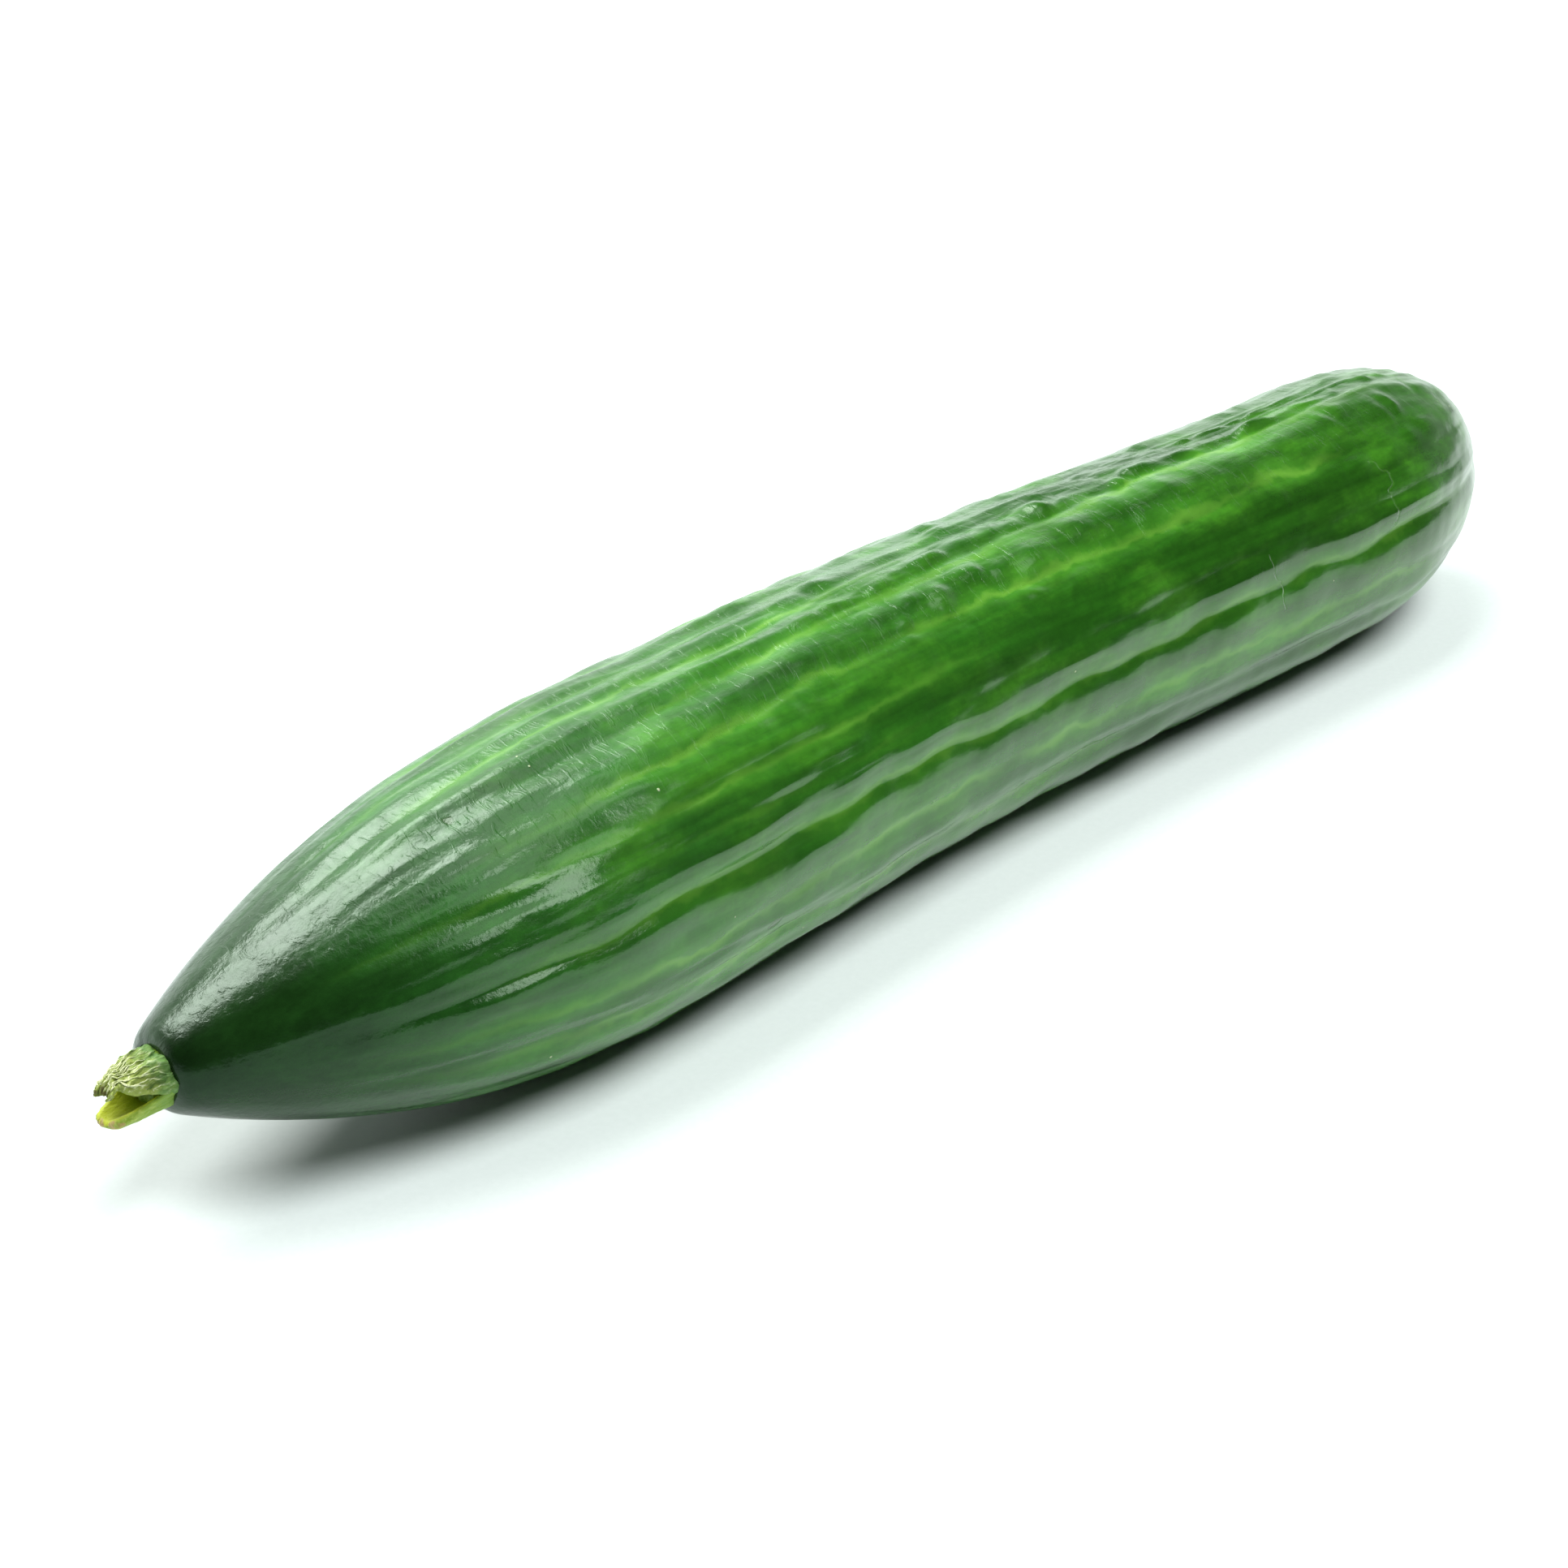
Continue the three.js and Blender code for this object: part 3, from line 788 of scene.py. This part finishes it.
def closeRoot(made):
    # the tip's two sides meet, so their points are merged; the flat root is filled
    mesh = made.data
    bpy.context.view_layer.objects.active = made
    bpy.ops.object.mode_set(mode='EDIT')
    bpy.ops.mesh.select_all(action='SELECT')
    bpy.ops.mesh.remove_doubles(threshold=0.01 * mm)
    selectIn(mesh, lambda e: e.is_boundary, 'EDGE')
    bpy.ops.mesh.fill()
    bpy.ops.mesh.select_all(action='SELECT')
    bpy.ops.mesh.normals_make_consistent(inside=False)
    bpy.ops.object.mode_set(mode='OBJECT')


def setStalkLayers(mesh, outer, fibre):
    outs = {vertex.index: max(seat.x - vertex.co.x / mm, 0) for vertex in mesh.vertices}
    setLayer(mesh, 'out', outs)
    setLayer(mesh, 'outer', {index: outer for index in outs})
    setLayer(mesh, 'fibre', {index: fibre for index in outs})


def makeCollar():
    # the whole stalk inside the roots of the lobes: a blunt cone with a sunk, torn end
    bpy.ops.object.select_all(action='DESELECT')
    bpy.ops.mesh.primitive_cone_add(
        vertices=collar['sides'], radius1=collar['radius'] * mm, radius2=collar['endRadius'] * mm,
        depth=collar['length'] * mm, location=(0, 0, 0), rotation=(0, -math.pi / 2, 0))
    made = bpy.context.object
    made.name = 'stalk_collar'
    bpy.ops.object.transform_apply(location=True, rotation=True, scale=True)
    mesh = made.data
    bpy.ops.object.mode_set(mode='EDIT')
    endX = min(v.co.x for v in bmesh.from_edit_mesh(mesh).verts)
    selectIn(mesh, lambda f: f.normal.x < -0.9, 'FACE')
    for inset, sink in collar['dish']:
        bpy.ops.mesh.inset(thickness=inset * mm)
        bpy.ops.transform.translate(value=(sink * mm, 0, 0))
    bpy.ops.mesh.select_all(action='SELECT')
    bpy.ops.mesh.quads_convert_to_tris()
    bpy.ops.mesh.subdivide(number_cuts=1)
    bpy.ops.object.mode_set(mode='OBJECT')
    place = Vector((seat.x - collar['length'] / 2 + stalk['sunk'], seat.y, seat.z))
    for vertex in mesh.vertices:
        point = vertex.co / mm
        torn = noiseAt(point.y * 1.4, point.z * 1.4, 2) + 0.5 * noiseAt(point.y * 3.3, point.z * 3.3, 5)
        if vertex.co.x < endX + collar['tornShare'] * collar['length'] * mm:
            point.x += collar['torn'] * torn
        vertex.co = (point + place) * mm
    setStalkLayers(mesh, 1, 0)
    return made


def makeStrings():
    # loose strands of the torn bast, lying on the upper half, some standing off its ragged tip
    draw = random.Random(strings['seed'])
    curve = bpy.data.curves.new('strings', 'CURVE')
    curve.dimensions = '3D'
    curve.bevel_depth = strings['radius'] * mm
    curve.bevel_resolution = 2
    curve.use_fill_caps = True
    for number in range(strings['count']):
        first = draw.uniform(*strings['start'])
        last = min(first + draw.uniform(*strings['run']), strings['lastEnd'])
        turn = (number + draw.uniform(0.1, 0.9)) / strings['count']
        turn = turn * strings['width'] + strings['edgeGap']
        drift = draw.uniform(-strings['drift'], strings['drift'])
        spline = curve.splines.new('POLY')
        spline.points.add(strings['points'] - 1)
        for step, point in enumerate(spline.points):
            t = step / (strings['points'] - 1)
            wave = strings['wave'] * math.sin(t * 9 + number)
            across = min(max(turn + drift * t + wave, 0), 1)
            place = lobeSurface(stalk['upper'], lerp(first, last, t), across, True)[0]
            away = Vector((0, place.y - seat.y, place.z - seat.z)).normalized()
            lift = strings['lift'] * (0.3 + abs(math.sin(t * 5 + number * 1.7))) * math.sin(math.pi * t)
            place += away * (lift - strings['sink'])
            point.co = (*(place * mm), 1)
            swell = strings['thin'] + (1 - strings['thin']) * math.sin(math.pi * (0.08 + 0.84 * t))
            point.radius = swell * draw.uniform(*strings['thickness'])
    made = bpy.data.objects.new('stalk_strings', curve)
    bpy.context.scene.collection.objects.link(made)
    bpy.ops.object.select_all(action='DESELECT')
    made.select_set(True)
    bpy.context.view_layer.objects.active = made
    bpy.ops.object.convert(target='MESH')
    made = bpy.context.object
    setStalkLayers(made.data, 1, strings['fibre'])
    return made


# pits lie between the fibres, ridges stand out of the body, and inside is the inside of the split, which
# on the flesh is painted brighter: a painted glow of light through the thin wall
bastLook = {
    'pits': '#57702e', 'body': '#909f48', 'ridges': '#dde2b4', 'inside': '#7d9416', 'dryTip': '#6a6438',
    'root': '#4c7834', 'roughness': (0.5, 0.75),
}
fleshLook = {
    # inside: the split's yellow-green, partly painted light: brighter than the flesh is, a painted glow
    # of light shining through the thin wall
    'pits': '#5c7c1c', 'body': '#84a02a', 'ridges': '#b0bf58', 'inside': '#b9c22a', 'dryTip': '#ad955a',
    'root': '#6b9030', 'roughness': (0.32, 0.5),
}
stalkLook = {
    # fine fibres drawn coarse enough to show; root and dryTip are distances from the fruit
    'ior': 1.4, 'fineSize': 0.4167, 'stretch': 0.35, 'fineHeight': 0.22, 'patchSize': 1.111,
    'fine': (0.3, 0.7, -0.6, 0.6), 'pits': (-1.1, 0.1, 1, 0), 'ridges': (0.35, 1.1),
    'inside': (-0.9, 0.3, 1, 0), 'patch': (0.3, 0.7, -1.2, 1.2), 'root': (0.2, 4.6, 0.9, 0),
    'dryTip': (7.7, 8.9),
}


def stalkMaterial(name, tones):
    # Torn cucumber stalk: dull, rough fibres of bast over juicy flesh that still shines a little. Both
    # are green by the fruit and dry at the tip. IOR 1.4, roughness 0.5-0.75 for bast, 0.32-0.5 for flesh.
    made, tree = newMaterial(name)
    look = stalkLook
    objectPlace = addNode(tree, 'TexCoord').outputs['Object']
    here = addNode(tree, 'VectorMath', {'operation': 'SCALE'}, Vector=objectPlace, Scale=1 / mm)
    out, outer, fibre = (addNode(tree, 'Attribute', {'attribute_name': title}).outputs['Fac']
                         for title in ('out', 'outer', 'fibre'))
    stretched = addNode(tree, 'Mapping', i0=here, i3=(look['stretch'], 1, 1))
    fine = addNode(tree, 'TexNoise', Vector=stretched, Scale=1 / look['fineSize'], Detail=4,
                   Roughness=0.65)
    fineOn = addNode(tree, 'MapRange', Value=fine, **span(*look['fine']))
    mixed = addNode(tree, 'Math', plus, i0=fibre, i1=fineOn)
    patch = addNode(tree, 'TexNoise', Vector=here, Scale=1 / look['patchSize'], Detail=3, Roughness=0.6)
    reach = addNode(tree, 'MapRange', Value=patch, **span(*look['patch']))
    patchyOut = addNode(tree, 'Math', plus, i0=out, i1=reach)

    # each of these lies over the colour below it
    colour = toLinear(tones['body'])
    # inside, on the flesh, is partly painted light: a painted glow of light through the thin wall
    for title, source in (('pits', mixed), ('ridges', mixed), ('root', patchyOut), ('inside', outer),
                          ('dryTip', patchyOut)):
        mask = addNode(tree, 'MapRange', smooth, Value=source, **span(*look[title]))
        colour = addNode(tree, 'Mix', colours, Factor=mask, A=colour, B=toLinear(tones[title]))
    height = addNode(tree, 'Math', times, i0=fine, i1=look['fineHeight'])
    bump = addNode(tree, 'Bump', Strength=1, Distance=mm, Height=height)
    gloss = addNode(tree, 'MapRange', Value=fine, **span(0.3, 0.7, *tones['roughness']))
    shader = addNode(tree, 'BsdfPrincipled', Base_Color=colour, Roughness=gloss, IOR=look['ior'],
                     Normal=bump)
    addNode(tree, 'OutputMaterial', Surface=shader)
    return made


bast = stalkMaterial('torn_stalk_bast', bastLook)
flesh = stalkMaterial('split_stalk_flesh', fleshLook)
stalkPieces = (
    (makeLobe('upper'), bast),
    (makeLobe('lower'), flesh),
    (makeCollar(), flesh),
    (makeStrings(), bast),
)
for piece, finish in stalkPieces:
    piece.data.materials.clear()
    piece.data.materials.append(finish)
    bpy.ops.object.select_all(action='DESELECT')
    piece.select_set(True)
    bpy.context.view_layer.objects.active = piece
    bpy.ops.object.shade_smooth()
    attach(piece, 'root')
    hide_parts('stem_stub')
    print('made', piece.name, len(piece.data.polygons), 'faces')


studio = {
    'floorSize': 9000, 'card': ('#a9aeac', '#afb4b2'), 'cardGrain': 1.111,
    # a dim room with a pale wall behind it, brighter low down, and a darker one at the +X side
    'room': 0.05, 'wall': 1.85, 'side': 0.3, 'colour': '#f2fbf7',
    'low': (0.1, 0.88, 1, 0), 'behind': (0, 0.7), 'beside': (0.8, 1),
}
lamps = {
    # softboxes lie along X and lean towards the fruit: turn goes from the -Y horizon over the top
    'back softbox': {
        'turn': 112, 'reach': 1100, 'along': -60, 'size': (740, 1080), 'glow': 10.5, 'colour': '#fdfffe',
    },
    'front strip': {
        'turn': 39, 'reach': 1000, 'along': 215, 'size': (400, 290), 'glow': 7, 'colour': '#fbfffd',
        'for': 'fruit',
    },
    'high softbox': {
        'turn': 70, 'reach': 1000, 'along': 230, 'size': (480, 700), 'glow': 2, 'colour': '#fbfffd',
    },
    # lifts the floor alone, its shadow most of all: a broad lamp far away
    'fill': {
        'turn': 62, 'reach': 1000, 'along': 60, 'spread': 34, 'glow': 1.95, 'colour': '#fafeff',
        'for': 'floor',
    },
}


def makeFloor():
    # matt grey card: nearly no shine, and a faint grain, coarser than a real card's so that it shows
    bpy.ops.mesh.primitive_plane_add(size=studio['floorSize'] * mm, location=(0, 0, 0))
    floor = bpy.context.object
    floor.name = 'floor'
    card, tree = newMaterial('matt_pale_grey_card')
    place = addNode(tree, 'TexCoord').outputs['Object']
    grain = addNode(tree, 'TexNoise', Vector=place, Scale=1 / (studio['cardGrain'] * mm), Detail=2)
    dark, pale = studio['card']
    tone = addNode(tree, 'Mix', colours, Factor=grain, A=toLinear(dark), B=toLinear(pale))
    shader = addNode(tree, 'BsdfPrincipled', Base_Color=tone, Roughness=0.8, Specular_IOR_Level=0.1)
    addNode(tree, 'OutputMaterial', Surface=shader)
    floor.data.materials.append(card)
    return floor


def makeLamp(name, lamp):
    # glow is how bright the lamp's face is, where 1 is a white that just fills the exposure
    data = bpy.data.lights.new(name, 'SUN' if 'spread' in lamp else 'AREA')
    data.energy = lamp['glow'] * math.pi
    if 'spread' in lamp:
        data.angle = math.radians(lamp['spread'])
    else:
        data.shape = 'RECTANGLE'
        data.size = lamp['size'][0] * mm
        data.size_y = lamp['size'][1] * mm
        data.energy = lamp['glow'] * math.pi * data.size * data.size_y
    data.color = toLinear(lamp['colour'])[:3]
    made = bpy.data.objects.new(name, data)
    bpy.context.scene.collection.objects.link(made)
    turn = math.radians(lamp['turn'])
    place = (lamp['along'], -lamp['reach'] * math.cos(turn), lamp['reach'] * math.sin(turn))
    made.location = Vector(place) * mm
    made.rotation_euler = Vector(place).to_track_quat('Z', 'X').to_euler()
    if 'for' in lamp:
        lit = bpy.data.collections.new('lit by ' + name)
        for piece in litBy[lamp['for']]:
            lit.objects.link(piece)
        made.light_linking.receiver_collection = lit


def makeSurroundings():
    world = bpy.data.worlds.new('room')
    bpy.context.scene.world = world
    world.use_nodes = True
    tree = world.node_tree
    tree.nodes.clear()
    way = addNode(tree, 'SeparateXYZ', Vector=addNode(tree, 'TexCoord').outputs['Generated'])
    low = addNode(tree, 'MapRange', smooth, Value=way.outputs[2], **span(*studio['low']))
    behind = addNode(tree, 'MapRange', smooth, Value=way.outputs[1], **span(*studio['behind']))
    beside = addNode(tree, 'MapRange', smooth, Value=way.outputs[0], **span(*studio['beside']))
    backWall = addNode(tree, 'Math', times, i0=behind, i1=studio['wall'])
    sideWall = addNode(tree, 'Math', times, i0=beside, i1=studio['side'])
    walls = addNode(tree, 'Math', larger, i0=backWall, i1=sideWall)
    glow = addNode(tree, 'Math', timesPlus, i0=walls, i1=low, i2=studio['room'])
    seen = addNode(tree, 'LightPath').outputs['Is Camera Ray']
    strength = addNode(tree, 'Mix', Factor=seen, A=glow, B=1)
    background = addNode(tree, 'Background', Color=toLinear(studio['colour']), Strength=strength)
    addNode(tree, 'OutputWorld', Surface=background)


floor = makeFloor()
litBy = {'floor': [floor], 'fruit': [skin] + [piece for piece, finish in stalkPieces]}
for name, lamp in lamps.items():
    makeLamp(name, lamp)
makeSurroundings()
print('studio set up')
